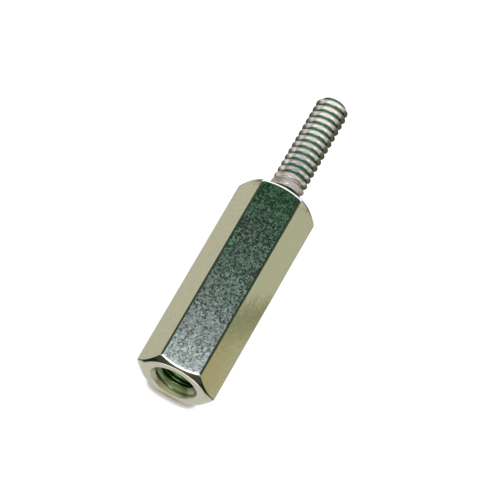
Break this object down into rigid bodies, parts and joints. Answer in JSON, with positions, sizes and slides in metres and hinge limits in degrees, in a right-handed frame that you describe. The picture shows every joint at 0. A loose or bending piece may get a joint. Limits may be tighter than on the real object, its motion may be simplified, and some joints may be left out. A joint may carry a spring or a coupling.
{
  "type": "hex standoff",
  "caption": "Male-female hex standoff: chamfered hexagonal spacer with a countersunk tapped hole in one end and a threaded stud on the other, for spacing boards and panels.",
  "frame": {"origin": "centre of the end face that the tapped hole opens in, on the standoff's axis", "axes": "+X along the axis from the tapped end to the stud's tip, +Z out of the flat that faces up when it lies on a flat"},
  "size_m": [0.0287, 0.0068, 0.006],
  "materials": {
    "plated_steel": "satin plating with a fine mottle and a warm, slightly greenish tint"
  },
  "bodies": {
    "root": {"hex_standoff": "plated_steel"}
  },
  "joints": []
}
